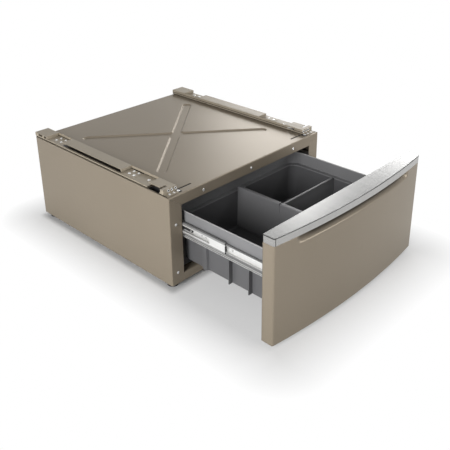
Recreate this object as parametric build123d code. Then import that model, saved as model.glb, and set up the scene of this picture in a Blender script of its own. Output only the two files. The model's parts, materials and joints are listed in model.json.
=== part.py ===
"""Laundry pedestal: a steel cabinet on levelling feet, with a drawer on telescopic slides.

Millimetres, +Z up, drawer towards -Y. The model is drawn from the front plane of the cabinet (y = 0)
and from the floor (z = 0). write() then moves it, so that the origin lies under the middle of the
whole, with the drawer open.
"""
import math
import os
from build123d import *

# Cabinet
WIDTH = 686.0
DEPTH = 690.0
TOP_Z = 305.0
BASE_Z = 15.0
GAUGE = 1.2
BEND = 3.0
SEAM = 0.4
STILE = 47.0
HEADER = 35.5
SILL = 28.5
SILL_FLANGE = 28.0
REAR_FLANGE = 22.0
REAR_INSET = 2.5
BASE_HEM = 14.0
BASE_TAB = 54.0
HEADER_SHELF = 30.0
HEADER_LIP = 18.0
TOP_GAP = 1.6
TOP_HEM = 12.0
HALF = WIDTH / 2
BACK = DEPTH - REAR_INSET
OPEN_X = HALF - STILE
OPEN_TOP = TOP_Z - HEADER
OPEN_BOTTOM = BASE_Z + SILL
TOP_HALF = HALF - GAUGE - TOP_GAP
REAR_FACE = BACK - 2 * GAUGE - 0.1

# Stiffening cross pressed down into the top panel, and its two slots
CROSS_Y = DEPTH / 2 + 5
CROSS_X_SPAN = 460.0
CROSS_Y_SPAN = 385.0
CROSS_WIDTH = 34.0
CROSS_SINK = 4.5
CROSS_TAPER = 45.0
CROSS_CORNER = 9.0
CLIP_SLOT_IN = 85.0
CLIP_SLOT_X = HALF - CLIP_SLOT_IN
CLIP_SLOT_Y = 28.7
CLIP_SLOT_LENGTH = 56.0
CLIP_SLOT_WIDTH = 6.0

# Ribs pressed inwards in the back
RIB_HEIGHT = 26.0
RIB_DEPTH = 3.0
RIB_PITCH = 100.0
RIB_MARGIN = 45.0

# Mounting rails on the top panel, from the front; RAIL_STEP is the height of the lower step's face
RAIL_GAUGE = 1.5
RAIL_BEND = 2.2
RAIL_HEIGHT = 16.5
RAIL_TOP = TOP_Z + RAIL_HEIGHT
RAIL_STEP = TOP_Z + 6
RAIL_STEP_OUT = HALF - 3
RAIL_WEB_OUT = HALF - 1.5
RAIL_WEB_NARROW = HALF - 11
RAIL_IN = HALF - 54
RAIL_PLATE_IN = RAIL_IN - 6
RAIL_TONGUE_ROOT = RAIL_IN + 23
RAIL_FRONT = 10.0
RAIL_BLOCK_FRONT = 25.0
RAIL_BLOCK_BACK = 38.0
RAIL_TONGUE_FRONT = 48.0
RAIL_TONGUE_BACK = 97.0
RAIL_PAD = (168.0, 214.0)
RAIL_PAD_RAISE = 1.0
RAIL_MIDDLE_FRONT = 226.0
RAIL_REAR_POCKET = 82.0
RAIL_REAR_BLOCK = DEPTH - 68
RAIL_MIDDLE_BACK = RAIL_REAR_BLOCK - RAIL_REAR_POCKET
RAIL_REAR_POSTS = ((DEPTH - 49, DEPTH - 40), (DEPTH - 17, DEPTH))
RAIL_LIP_DROP = 9.5
RAIL_WELL_MARGIN = 4.0
RAIL_GAP = 3.2
RAIL_GAP_PAST = 15.0

# Telescopic slides
SLIDE_LENGTH = 350.0
SLIDE_TRAVEL = 344.5
SLIDE_HEIGHT = 45.0
SLIDE_THICK = 12.7
SLIDE_GAUGE = 1.2
SLIDE_BEND = 1.6
SLIDE_Z = 192.5
SLIDE_FRONT = 3.5
SLIDE_OUT = OPEN_X + 0.3
SLIDE_IN = SLIDE_OUT - SLIDE_THICK
RUN_GAP = 0.3
PIN_GAP = 0.05
BALL_R = 1.6
BALL_PITCH = 72.0
BALL_SET = 3.1
CAGE_LENGTH = 164.0
CAGE_GAUGE = 0.5
CAGE_BRIDGE = 12.0
WINDOW_HALF = 8.5
FRONT_WINDOW = (60.0, 178.0)
REAR_WINDOW = (250.0, 300.0)
LEVER_THICK = 5.0
LEVER_PIN_R = 2.2
CARRIER_FLANGE = 22.0
CARRIER_HEIGHT = 85.0

# Drawer tub and its dividers
TUB_LENGTH = 406.7
TUB_HALF = SLIDE_IN - 2.6
TUB_TOP = 240.0
TUB_BOTTOM = 65.0
TUB_LEDGE_Z = SLIDE_Z + 5.5
TUB_STEP = 15.0
TUB_WALL = 2.5
TUB_REAR_R = 40.0
TUB_FRONT_R = 10.0
TUB_FLOOR_EDGE = 6.5
FIN_THICK = 3.0
FIN_PITCH = 75.0
FIN_TOP = 161.0
FIN_FIRST = 25.7
FIN_COUNT = 3
PILASTER = (268.7, 292.7)
PILASTER_DEPTH = 8.0
DIVIDER_X = -10.0
DIVIDER_HALF = 7.0
DIVIDER_SPREAD = 2.0
DIVIDER_WALL = 2.5
DIVIDER_TOP = 212.0
DIVIDER_NOTCH = 26.0
CROSS_DIVIDER_AT = 215.7
CROSS_DIVIDER_HALF = 1.6
CROSS_DIVIDER_TOP = DIVIDER_TOP - 6

# Drawer front, its cap and the finger scoop
FRONT_BACK_Y = SLIDE_FRONT - SLIDE_TRAVEL - 6
FRONT_SIDE = 37.0
FRONT_BOW = 24.0
FRONT_BOTTOM = BASE_Z - 4
FRONT_CORNER = 6.0
FRONT_SKIN = 1.2
CAP_HEIGHT = 23.0
CAP_BOTTOM = TOP_Z + 5
CAP_TOP = CAP_BOTTOM + CAP_HEIGHT
CAP_WALL = 2.0
CAP_END = 5.0
SCOOP_HALF = 268.0
SCOOP_DROP = 23.0
SCOOP_DEPTH = 18.0
LINER_GAUGE = 1.5
LINER_PRESS = 4.0
LINER_RUN = 20.0
LINER_MARGIN_X = HALF - SLIDE_IN + LINER_RUN
LINER_MARGIN_Z = 35.0

# Folded brackets between the tub, the slides and the drawer front
BRACKET_GAUGE = 1.2
BRACKET_BEND = 1.5
BRACKET_DROP = 35.0
BRACKET_TAB = 14.0

# Levelling feet
FOOT_X = HALF - 25
FOOT_FRONT_Y = 28.0
FOOT_REAR_Y = DEPTH - 30
FOOT_PAD_R = 17.0
FOOT_PAD_Z = 9.0
FOOT_COLLAR_R = 9.0
FOOT_STUD_R = 5.0
FOOT_STUD_Z = BASE_Z + GAUGE - SEAM
FOOT_STUD_TOP = 52.0
FOOT_CLEAR = 0.1

TUB_FRONT = FRONT_BACK_Y + 0.3
TUB_REAR = TUB_FRONT + TUB_LENGTH
FRONT_REACH = -FRONT_BACK_Y + FRONT_SIDE + FRONT_BOW
MIDDLE_Y = (DEPTH - FRONT_REACH) / 2


# ---------------------------------------------------------------- helpers
def along_x(face, x0, x1):
    """Extrude a (y, z) face from x0 to x1."""
    return extrude(Plane((x0, 0, 0), x_dir=(0, 1, 0), z_dir=(1, 0, 0)) * face, amount=x1 - x0)


def along_y(face, y0, y1):
    """Extrude an (x, z) face from y0 to y1."""
    return extrude(Plane((0, y1, 0), x_dir=(1, 0, 0), z_dir=(0, -1, 0)) * face, amount=y1 - y0)


def along_z(face, z0, z1):
    """Extrude an (x, y) face from z0 to z1."""
    return extrude(Pos(0, 0, z0) * face, amount=z1 - z0)


def block(x0, x1, y0, y1, z0, z1):
    """Box between two corners."""
    centre = Pos((x0 + x1) / 2, (y0 + y1) / 2, (z0 + z1) / 2)
    return centre * Box(abs(x1 - x0), abs(y1 - y0), abs(z1 - z0))


def strip(points, gauge, bend, side):
    """Face of a bent sheet: a line through the points, thickened to one side."""
    return make_face(offset(FilletPolyline(*points, radius=bend), gauge, side=side))


def outline(*points):
    """Face inside a closed polyline."""
    return make_face(Polyline(*points, close=True))


def rod(start, direction, radius, length):
    """Cylinder from a start point along a direction."""
    return Plane(start, z_dir=direction) * Cylinder(
        radius, length, align=(Align.CENTER, Align.CENTER, Align.MIN))


def mirrored(part):
    """The same piece on the other side of the middle plane."""
    return mirror(part, Plane.YZ)


PARTS = {}


def keep(name, shape):
    """Note a node: one solid."""
    PARTS[name] = shape


def keep_pair(name, shape):
    """Note a right-hand node and its left-hand twin."""
    keep(name + "_right", shape)
    keep(name + "_left", mirrored(shape))


# ---------------------------------------------------------------- cabinet panels
def side_panel():
    """Right-hand side: one sheet bent round the front, side and back, with a hem at the bottom."""
    plan = strip([(OPEN_X, 0), (HALF, 0), (HALF, BACK), (HALF - REAR_FLANGE, BACK)],
                 GAUGE, BEND, Side.LEFT)
    panel = along_z(plan, BASE_Z, TOP_Z)
    panel += block(HALF - BASE_HEM, HALF - GAUGE / 2, BEND + GAUGE, BACK - BEND - GAUGE,
                   BASE_Z, BASE_Z + GAUGE)
    mitre = outline((OPEN_X - 1, OPEN_TOP - SEAM - 1), (OPEN_X, OPEN_TOP - SEAM),
                    (HALF, TOP_Z - SEAM), (HALF + 1, TOP_Z + 1), (OPEN_X - 1, TOP_Z + 1))
    return panel - along_y(mitre, -1, BEND + GAUGE)


def cross_face(grow):
    """The stiffening cross seen from above: two rounded bars with filleted inner corners."""
    angle = math.degrees(math.atan2(CROSS_Y_SPAN, CROSS_X_SPAN))
    bar = SlotCenterToCenter(math.hypot(CROSS_X_SPAN, CROSS_Y_SPAN), CROSS_WIDTH + 2 * grow)
    cross = Rot(0, 0, angle) * bar + Rot(0, 0, -angle) * bar
    inner = cross.vertices().sort_by(lambda v: Vector(v.X, v.Y, 0).length)[:4]
    return Pos(0, CROSS_Y) * fillet(inner, CROSS_CORNER - grow)


def top_panel():
    """Top sheet with a front flange, hemmed sides and the cross pressed down into it."""
    section = strip([(0, OPEN_TOP), (0, TOP_Z), (REAR_FACE, TOP_Z), (REAR_FACE, TOP_Z - TOP_HEM)],
                    GAUGE, BEND, Side.RIGHT)
    panel = along_x(section, -HALF, HALF)
    for side in (-1, 1):
        panel -= block(side * TOP_HALF, side * (HALF + 1), BEND + GAUGE, DEPTH, OPEN_TOP, TOP_Z + 1)
        wedge = outline((side * OPEN_X, OPEN_TOP - 1), (side * OPEN_X, OPEN_TOP), (side * HALF, TOP_Z),
                        (side * (HALF + 1), TOP_Z), (side * (HALF + 1), OPEN_TOP - 1))
        panel -= along_y(wedge, -1, BEND + GAUGE)
        panel += block(side * (TOP_HALF - GAUGE), side * TOP_HALF, BEND + GAUGE, REAR_FACE - BEND,
                       TOP_Z - TOP_HEM, TOP_Z - GAUGE / 2)
        slot = Pos(side * CLIP_SLOT_X, CLIP_SLOT_Y) * SlotOverall(CLIP_SLOT_LENGTH, CLIP_SLOT_WIDTH)
        panel -= along_z(slot, TOP_Z - 2 * GAUGE, TOP_Z + 1)
        panel -= block(side * (RAIL_TONGUE_ROOT + 1), side * (RAIL_STEP_OUT - 2),
                       RAIL_BLOCK_BACK + RAIL_WELL_MARGIN + 1, RAIL_TONGUE_BACK + 1,
                       TOP_Z - 2 * GAUGE, TOP_Z + 1)
    panel += Pos(0, 0, TOP_Z - GAUGE) * extrude(cross_face(GAUGE), amount=-CROSS_SINK, taper=CROSS_TAPER)
    return panel - Pos(0, 0, TOP_Z) * extrude(cross_face(0), amount=-CROSS_SINK, taper=CROSS_TAPER)


def rib_face(half, inset):
    """Outline of a pressed rib with slanted ends."""
    rise = RIB_HEIGHT / 2 - inset
    half -= inset
    return outline((-half, 0), (rise - half, rise), (half - rise, rise), (half, 0),
                   (half - rise, -rise), (rise - half, -rise))


def rear_panel():
    """Back sheet with two pressed ribs."""
    half = HALF - GAUGE - 2
    middle = (BASE_Z + TOP_Z) / 2 - 5
    panel = block(-half, half, REAR_FACE, REAR_FACE + GAUGE, BASE_Z + 3, TOP_Z - GAUGE)
    for z in (middle - RIB_PITCH / 2, middle + RIB_PITCH / 2):
        panel += along_y(Pos(0, z) * rib_face(half - RIB_MARGIN, 0), REAR_FACE - RIB_DEPTH, REAR_FACE)
        panel -= along_y(Pos(0, z) * rib_face(half - RIB_MARGIN, GAUGE),
                         REAR_FACE - RIB_DEPTH + GAUGE, DEPTH)
    return panel


def header_rail():
    """Channel behind the front flange of the top panel."""
    half = TOP_HALF - GAUGE - RUN_GAP
    top = TOP_Z - GAUGE - RUN_GAP
    section = strip([(HEADER_SHELF, top), (GAUGE, top), (GAUGE, OPEN_TOP + 1), (HEADER_LIP, OPEN_TOP + 1)],
                    RAIL_GAUGE, RAIL_BEND, Side.LEFT)
    rail = along_x(section, -half, half)
    reach = CLIP_SLOT_LENGTH / 2 + 2
    for side in (-1, 1):
        rail -= block(side * CLIP_SLOT_X - reach, side * CLIP_SLOT_X + reach,
                      CLIP_SLOT_Y - CLIP_SLOT_WIDTH, DEPTH, top - BEND, TOP_Z)
    return rail


def sill_rail():
    """Bottom rail of the opening."""
    section = strip([(SILL_FLANGE, BASE_Z), (0, BASE_Z), (0, OPEN_BOTTOM), (SILL_FLANGE, OPEN_BOTTOM)],
                    GAUGE, BEND, Side.RIGHT)
    half = OPEN_X - SEAM
    rail = along_x(section, -half, half)
    for side in (-1, 1):
        rail -= block(side * (half - BASE_HEM), side * (half + 1), GAUGE, DEPTH, 0,
                      OPEN_BOTTOM - GAUGE)
    return rail


def foot_places():
    """Plan places of the four feet."""
    return [(side * FOOT_X, y) for side in (-1, 1) for y in (FOOT_FRONT_Y, FOOT_REAR_Y)]


def base_rail():
    """Right-hand channel that takes the studs of the feet, with an upright tab behind the stile."""
    floor = BASE_Z + GAUGE
    left = OPEN_X + 3
    right = HALF - GAUGE - BEND
    section = strip([(left, floor + BASE_TAB / 2), (left, floor), (right, floor),
                     (right, floor + BASE_TAB / 2)], RAIL_GAUGE, RAIL_BEND, Side.LEFT)
    rail = along_y(section, GAUGE, REAR_FACE)
    rail += block(OPEN_X - BASE_HEM + 3, right, GAUGE, GAUGE + RAIL_GAUGE, floor + RAIL_GAUGE,
                  OPEN_BOTTOM - GAUGE)
    rail += block(left, right, GAUGE, GAUGE + RAIL_GAUGE, floor + RAIL_GAUGE, floor + BASE_TAB)
    return rail - [rod((x, y, 0), (0, 0, 1), FOOT_STUD_R + FOOT_CLEAR, floor + BASE_TAB)
                   for x, y in foot_places()]


# ---------------------------------------------------------------- mounting rails
def mounting_rail():
    """Right-hand rail: a web over a lower step, open outwards, with a tongue and two blocks."""
    web = strip([(RAIL_IN, TOP_Z), (RAIL_IN, RAIL_TOP), (RAIL_WEB_OUT, RAIL_TOP)],
                RAIL_GAUGE, RAIL_BEND, Side.RIGHT)
    step = strip([(RAIL_STEP_OUT, TOP_Z), (RAIL_STEP_OUT, RAIL_STEP),
                  (RAIL_IN + RAIL_GAUGE / 2, RAIL_STEP)], RAIL_GAUGE, RAIL_BEND, Side.LEFT)
    rail = along_y(web, RAIL_BLOCK_FRONT, DEPTH) + along_y(step, RAIL_BLOCK_FRONT, DEPTH)
    rail += block(RAIL_PLATE_IN, RAIL_STEP_OUT, RAIL_FRONT, RAIL_BLOCK_FRONT + RAIL_GAUGE,
                  TOP_Z, TOP_Z + RAIL_GAUGE)
    over = RAIL_TOP + 1
    under = RAIL_STEP + 1
    out = RAIL_WEB_OUT + 1
    open_in = RAIL_IN + RAIL_GAUGE
    rail -= block(RAIL_TONGUE_ROOT, out, RAIL_BLOCK_BACK, RAIL_TONGUE_FRONT, under, over)
    rail -= block(RAIL_WEB_NARROW, out, RAIL_BLOCK_BACK, RAIL_MIDDLE_BACK + 1, under, over)
    rail -= block(RAIL_IN - 1, open_in + 1, RAIL_TONGUE_FRONT + 12, RAIL_TONGUE_BACK - 5,
                  under, RAIL_TOP - 2.5)
    rail -= block(open_in, out, RAIL_TONGUE_BACK, RAIL_MIDDLE_FRONT, under, over)
    rail -= block(open_in, out, RAIL_MIDDLE_BACK, RAIL_REAR_BLOCK, under, over)
    rail -= block(RAIL_TONGUE_ROOT, out, RAIL_BLOCK_BACK + RAIL_WELL_MARGIN, RAIL_TONGUE_BACK,
                  TOP_Z - 1, under)
    rail -= block(RAIL_STEP_OUT - 2 * RAIL_GAUGE, out, RAIL_TONGUE_BACK - 1,
                  RAIL_REAR_BLOCK + RAIL_GAP_PAST, TOP_Z - 1, TOP_Z + RAIL_GAP)
    inside = RAIL_TOP - RAIL_STEP
    rail += end_lip(RAIL_BLOCK_FRONT, 1, RAIL_HEIGHT - RAIL_GAUGE / 2, RAIL_WEB_OUT - 3)
    rail += end_lip(RAIL_MIDDLE_FRONT, 1, RAIL_LIP_DROP, RAIL_WEB_NARROW)
    rail += end_lip(RAIL_REAR_BLOCK, 1, inside, RAIL_WEB_OUT)
    rail += end_lip(DEPTH, -1, inside, RAIL_WEB_OUT)
    post = RAIL_WEB_OUT - RAIL_GAUGE
    for y0, y1 in ((RAIL_BLOCK_FRONT, RAIL_BLOCK_BACK), *RAIL_REAR_POSTS):
        rail += block(post - 2, post, y0, y1, RAIL_STEP - RAIL_GAUGE / 2, RAIL_TOP - RAIL_GAUGE / 2)
    return rail + block(open_in + 1, RAIL_STEP_OUT - 10, *RAIL_PAD, RAIL_STEP, RAIL_STEP + RAIL_PAD_RAISE)


def end_lip(y, towards, drop, out):
    """Web end bent down: an L across the rail, its face at y."""
    section = strip([(y + 8 * towards, RAIL_TOP), (y, RAIL_TOP), (y, RAIL_TOP - drop)],
                    RAIL_GAUGE, RAIL_BEND, Side.LEFT if towards > 0 else Side.RIGHT)
    return along_x(section, RAIL_IN + RAIL_BEND, out)


# ---------------------------------------------------------------- slides
SLIDE_HALF = SLIDE_HEIGHT / 2
RACE = 2 * (BALL_R + RUN_GAP)
MIDDLE_HALF = SLIDE_HALF - SLIDE_GAUGE - RACE
INNER_HALF = MIDDLE_HALF - SLIDE_GAUGE - RACE
MIDDLE_OUT = SLIDE_OUT - SLIDE_GAUGE - 2 * CAGE_GAUGE
OUTER_REACH = SLIDE_OUT - 10.2
MIDDLE_REACH = SLIDE_IN + SLIDE_GAUGE + 2 * RUN_GAP
INNER_REACH = MIDDLE_OUT - SLIDE_GAUGE - 4 * RUN_GAP
LIP = 3.4
MEMBER_START = SLIDE_FRONT - SLIDE_TRAVEL
MIDDLE_START = SLIDE_FRONT - SLIDE_TRAVEL / 2
LEVER_PIVOT_Y = MEMBER_START + SLIDE_LENGTH - 39
OUTER_BALL_Z = SLIDE_HALF - SLIDE_GAUGE - RACE / 2
INNER_BALL_Z = MIDDLE_HALF - SLIDE_GAUGE - RACE / 2
OUTER_CAGE_WEB = SLIDE_OUT - SLIDE_GAUGE - CAGE_GAUGE / 2
INNER_CAGE_WEB = MIDDLE_OUT - SLIDE_GAUGE - RUN_GAP


def channel(web, reach, half, lip):
    """Face of a C-shaped member: web at one x, flanges to the other, lips turned to the middle."""
    points = [(reach, half - lip), (reach, half), (web, half), (web, -half), (reach, -half),
              (reach, -half + lip)]
    return Pos(0, SLIDE_Z) * strip(points, SLIDE_GAUGE, SLIDE_BEND,
                                   Side.LEFT if reach > web else Side.RIGHT)


def cabinet_member():
    """Outer member, fixed to the carrier."""
    return along_y(channel(SLIDE_OUT, OUTER_REACH, SLIDE_HALF, LIP), SLIDE_FRONT,
                   SLIDE_FRONT + SLIDE_LENGTH)


def middle_member():
    """Intermediate member, with two windows in its web."""
    member = along_y(channel(MIDDLE_OUT, MIDDLE_REACH, MIDDLE_HALF, LIP), MIDDLE_START,
                     MIDDLE_START + SLIDE_LENGTH)
    for y0, y1 in (FRONT_WINDOW, REAR_WINDOW):
        member -= block(MIDDLE_OUT - 2 * SLIDE_GAUGE, MIDDLE_OUT + 1, MIDDLE_START + y0,
                        MIDDLE_START + y1, SLIDE_Z - WINDOW_HALF, SLIDE_Z + WINDOW_HALF)
    return member


def drawer_member():
    """Inner member, fixed to the drawer's bracket, with the pin that the release lever turns on."""
    web = SLIDE_IN
    points = [(INNER_REACH, INNER_HALF), (web, INNER_HALF), (web, -INNER_HALF),
              (INNER_REACH, -INNER_HALF)]
    face = Pos(0, SLIDE_Z) * strip(points, SLIDE_GAUGE, SLIDE_BEND, Side.LEFT)
    member = along_y(face, MEMBER_START, MEMBER_START + SLIDE_LENGTH)
    member -= rod((web - 1, LEVER_PIVOT_Y - 40, SLIDE_Z), (1, 0, 0), 3, 4)
    return member + rod((web + SLIDE_GAUGE / 2, LEVER_PIVOT_Y, SLIDE_Z), (1, 0, 0), LEVER_PIN_R,
                        SLIDE_GAUGE / 2 + RUN_GAP + LEVER_THICK)


def cage(half, web_x, start):
    """Ball cage: a thin C-shaped strip with ball pockets in each flange, its web open at the back."""
    ball_x = web_x - BALL_SET
    reach = ball_x - BALL_R - 1
    points = [(reach, half), (web_x, half), (web_x, -half), (reach, -half)]
    face = Pos(0, SLIDE_Z) * strip(points, CAGE_GAUGE, 2 * CAGE_GAUGE, Side.RIGHT)
    body = along_y(face, start, start + CAGE_LENGTH)
    body -= block(web_x - 1, web_x + 1, start + CAGE_BRIDGE, start + CAGE_LENGTH + 1,
                  SLIDE_Z - WINDOW_HALF, SLIDE_Z + WINDOW_HALF)
    middle = start + CAGE_LENGTH / 2
    side = BALL_R + PIN_GAP
    return body - [block(ball_x - side, ball_x + side, y - side, y + side, SLIDE_Z - 2 * half,
                         SLIDE_Z + 2 * half)
                   for y in (middle - BALL_PITCH, middle, middle + BALL_PITCH)]


def slide_carrier():
    """Right-hand channel between the front stile and the back, which carries the slide."""
    out = SLIDE_OUT + CARRIER_FLANGE
    z0 = SLIDE_Z - CARRIER_HEIGHT / 2
    z1 = SLIDE_Z + CARRIER_HEIGHT / 2
    section = strip([(out, z1), (SLIDE_OUT, z1), (SLIDE_OUT, z0), (out, z0)],
                    RAIL_GAUGE, RAIL_BEND, Side.LEFT)
    carrier = along_y(section, GAUGE, REAR_FACE)
    carrier += block(SLIDE_OUT + RAIL_GAUGE / 2, HALF - 5, GAUGE, GAUGE + RAIL_GAUGE,
                     SLIDE_Z, z1 - RAIL_GAUGE / 2)
    return carrier + block(SLIDE_OUT + RAIL_GAUGE / 2, HALF - 12, REAR_FACE - RAIL_GAUGE, REAR_FACE,
                           z0 + CARRIER_FLANGE, z1 - CARRIER_FLANGE)


def release_lever():
    """Plastic lever that frees the drawer member from the slide."""
    start = LEVER_PIVOT_Y - 5
    x0 = SLIDE_IN + SLIDE_GAUGE + RUN_GAP
    arm = make_face([
        Polyline((start, -4), (start, 4), (start + 30, 3)),
        ThreePointArc((start + 30, 3), (start + 38, 6.5), (start + 42, 9.5)),
        Polyline((start + 42, 9.5), (start + 43, 4)),
        ThreePointArc((start + 43, 4), (start + 37, -1), (start + 30, -3)),
        Line((start + 30, -3), (start, -4))])
    lever = along_x(Pos(0, SLIDE_Z) * arm, x0, x0 + LEVER_THICK)
    return lever - rod((x0 - 1, LEVER_PIVOT_Y, SLIDE_Z), (1, 0, 0), LEVER_PIN_R + PIN_GAP,
                       LEVER_THICK + 2)


# ---------------------------------------------------------------- drawer tub
def tub_plan(inset, step):
    """Plan of the tub, inset all round, and stepped in at the sides and back."""
    half = TUB_HALF - step - inset
    front = TUB_FRONT + inset
    rear = TUB_REAR - step - inset
    plan = outline((-half, front), (half, front), (half, rear), (-half, rear))
    back_corners = plan.vertices().filter_by(lambda v: v.Y > front + 1)
    plan = fillet(back_corners, TUB_REAR_R - step / 2 - inset)
    front_corners = plan.vertices().filter_by(lambda v: v.Y < front + 1)
    return fillet(front_corners, TUB_FRONT_R - inset)


def tub():
    """Moulded tub: a wide rim band, a ledge, lower walls with a chamfered floor edge, and fins."""
    upper = along_z(tub_plan(0, 0), TUB_LEDGE_Z, TUB_TOP)
    lower = along_z(tub_plan(0, TUB_STEP), TUB_BOTTOM, TUB_LEDGE_Z)
    lower = chamfer(lower.faces().sort_by(Axis.Z)[0].edges(), TUB_FLOOR_EDGE)
    hollow = along_z(tub_plan(TUB_WALL, 0), TUB_LEDGE_Z + TUB_WALL, TUB_TOP + 1)
    well = along_z(tub_plan(TUB_WALL, TUB_STEP), TUB_BOTTOM + TUB_WALL, TUB_LEDGE_Z + TUB_WALL)
    well = chamfer(well.faces().sort_by(Axis.Z)[0].edges(), TUB_FLOOR_EDGE - TUB_WALL / 2)
    body = upper + lower - hollow - well
    wall = TUB_HALF - TUB_STEP
    floor = TUB_BOTTOM + TUB_FLOOR_EDGE
    for side in (-1, 1):
        for i in range(FIN_COUNT):
            y = TUB_FRONT + FIN_FIRST + FIN_PITCH * i
            body += block(side * (wall - 1), side * (TUB_HALF - 0.5), y, y + FIN_THICK, floor, FIN_TOP)
        y0, y1 = (TUB_FRONT + y for y in PILASTER)
        pilaster = outline((side * (wall - 1), y0), (side * (wall + PILASTER_DEPTH), y0 + 4),
                           (side * (wall + PILASTER_DEPTH), y1 - 4), (side * (wall - 1), y1))
        body += along_z(pilaster, floor, FIN_TOP)
    return body


def divider_long():
    """Lengthwise divider: a hollow wall that narrows upwards, with a notch for the cross wall."""
    floor = TUB_BOTTOM + TUB_WALL
    y0 = TUB_FRONT + TUB_WALL + RUN_GAP
    y1 = TUB_REAR - TUB_STEP - TUB_WALL - RUN_GAP
    foot = DIVIDER_HALF + DIVIDER_SPREAD
    section = outline((-foot, floor), (-DIVIDER_HALF, DIVIDER_TOP), (DIVIDER_HALF, DIVIDER_TOP),
                      (foot, floor))
    top = section.vertices().filter_by(lambda v: v.Y > DIVIDER_TOP - 1)
    outer = along_y(Pos(DIVIDER_X, 0) * fillet(top, 4), y0, y1)
    core = outline((-foot + DIVIDER_WALL, floor - 1), (-DIVIDER_HALF + DIVIDER_WALL, DIVIDER_TOP - 3),
                   (DIVIDER_HALF - DIVIDER_WALL, DIVIDER_TOP - 3), (foot - DIVIDER_WALL, floor - 1))
    wall = outer - along_y(Pos(DIVIDER_X, 0) * core, y0 + DIVIDER_WALL, y1 - DIVIDER_WALL)
    notch = CROSS_DIVIDER_HALF + RUN_GAP
    y = TUB_FRONT + CROSS_DIVIDER_AT
    wall -= block(DIVIDER_X - 2 * foot, DIVIDER_X + 2 * foot, y - notch, y + notch,
                  CROSS_DIVIDER_TOP - DIVIDER_NOTCH, DIVIDER_TOP + 1)
    edge = TUB_FLOOR_EDGE - TUB_WALL / 2 + RUN_GAP
    wall -= block(DIVIDER_X - 2 * foot, DIVIDER_X + 2 * foot, y0 - 1, y0 + edge, floor - 1, floor + edge)
    return wall - block(DIVIDER_X - 2 * foot, DIVIDER_X + 2 * foot, y1 - edge, y1 + 1,
                        floor - 1, floor + edge)


def divider_cross():
    """Cross divider from the lengthwise wall to the right-hand wall of the tub."""
    floor = TUB_BOTTOM + TUB_WALL + RUN_GAP
    wall_x = TUB_HALF - TUB_STEP - TUB_WALL - RUN_GAP
    side = DIVIDER_X + DIVIDER_HALF + DIVIDER_SPREAD + 2 * RUN_GAP
    end = DIVIDER_X - DIVIDER_HALF - 1
    y = TUB_FRONT + CROSS_DIVIDER_AT
    seat = CROSS_DIVIDER_TOP - DIVIDER_NOTCH + RUN_GAP
    plate = outline((side, floor), (wall_x - TUB_FLOOR_EDGE, floor), (wall_x, floor + TUB_FLOOR_EDGE),
                    (wall_x, CROSS_DIVIDER_TOP - 12), (wall_x - 12, CROSS_DIVIDER_TOP),
                    (end, CROSS_DIVIDER_TOP), (end, seat), (side, seat))
    wall = along_y(plate, y - CROSS_DIVIDER_HALF, y + CROSS_DIVIDER_HALF)
    bead = along_x(Pos(y, CROSS_DIVIDER_TOP - 3) * RectangleRounded(8, 6, 2), side + 1, wall_x - 12)
    return wall + bead


# ---------------------------------------------------------------- drawer front
BOW_R = (HALF ** 2 + FRONT_BOW ** 2) / (2 * FRONT_BOW)
BOW_CENTRE_Y = -FRONT_REACH + BOW_R
SCOOP_R = (SCOOP_DROP ** 2 + SCOOP_DEPTH ** 2) / (2 * SCOOP_DEPTH)


def bow_y(x, inset):
    """Y of the bowed front at x, moved back by the inset."""
    return BOW_CENTRE_Y - math.sqrt((BOW_R - inset) ** 2 - x ** 2)


def bow_face(inset, back, corner):
    """Plan of the drawer front: straight back, bowed front, rounded front corners."""
    half = HALF - inset
    end = bow_y(half, inset)
    face = make_face([
        Polyline((-half, end), (-half, back), (half, back), (half, end)),
        ThreePointArc((half, end), (0, bow_y(0, inset)), (-half, end))])
    return fillet(face.vertices().filter_by(lambda v: v.Y < back - 1), corner)


def scoop(grow):
    """Finger scoop under the cap: a straight round bar that the bowed front runs out of sideways."""
    start = (-SCOOP_HALF - grow, SCOOP_DEPTH - SCOOP_R - FRONT_REACH, CAP_BOTTOM)
    return rod(start, (1, 0, 0), SCOOP_R + grow, 2 * (SCOOP_HALF + grow))


def front_panel():
    """Bowed painted shell, open at the back, with the finger scoop pressed into its top edge."""
    outer = along_z(bow_face(0, FRONT_BACK_Y, FRONT_CORNER), FRONT_BOTTOM, CAP_BOTTOM)
    inner = along_z(bow_face(FRONT_SKIN, FRONT_BACK_Y + 1, FRONT_CORNER - FRONT_SKIN),
                    FRONT_BOTTOM + FRONT_SKIN, CAP_BOTTOM - FRONT_SKIN)
    return outer - inner + (scoop(FRONT_SKIN) & outer) - scoop(0)


def field_face(half, rise, inset):
    """Outline of the liner's pressed field, with its corners cut off."""
    half -= inset
    rise -= inset
    cut = LINER_MARGIN_Z / 2
    return outline((-half, cut - rise), (-half, rise - cut), (cut - half, rise), (half - cut, rise),
                   (half, rise - cut), (half, cut - rise), (half - cut, -rise), (cut - half, -rise))


def front_liner():
    """Inner sheet that closes the back of the drawer front, pressed with a shallow field."""
    gap = FRONT_SKIN + 0.2
    half = HALF - gap
    height = CAP_BOTTOM - FRONT_BOTTOM - 2 * gap
    middle = (CAP_BOTTOM + FRONT_BOTTOM) / 2
    y = FRONT_BACK_Y
    sheet = block(-half, half, y - LINER_GAUGE, y, middle - height / 2, middle + height / 2)
    field_half = HALF - LINER_MARGIN_X
    rise = height / 2 - LINER_MARGIN_Z
    sheet += along_y(Pos(0, middle) * field_face(field_half, rise, 0), y - LINER_PRESS, y - LINER_GAUGE)
    return sheet - along_y(Pos(0, middle) * field_face(field_half, rise, LINER_GAUGE),
                           y - LINER_PRESS + LINER_GAUGE, y + 1)


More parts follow.
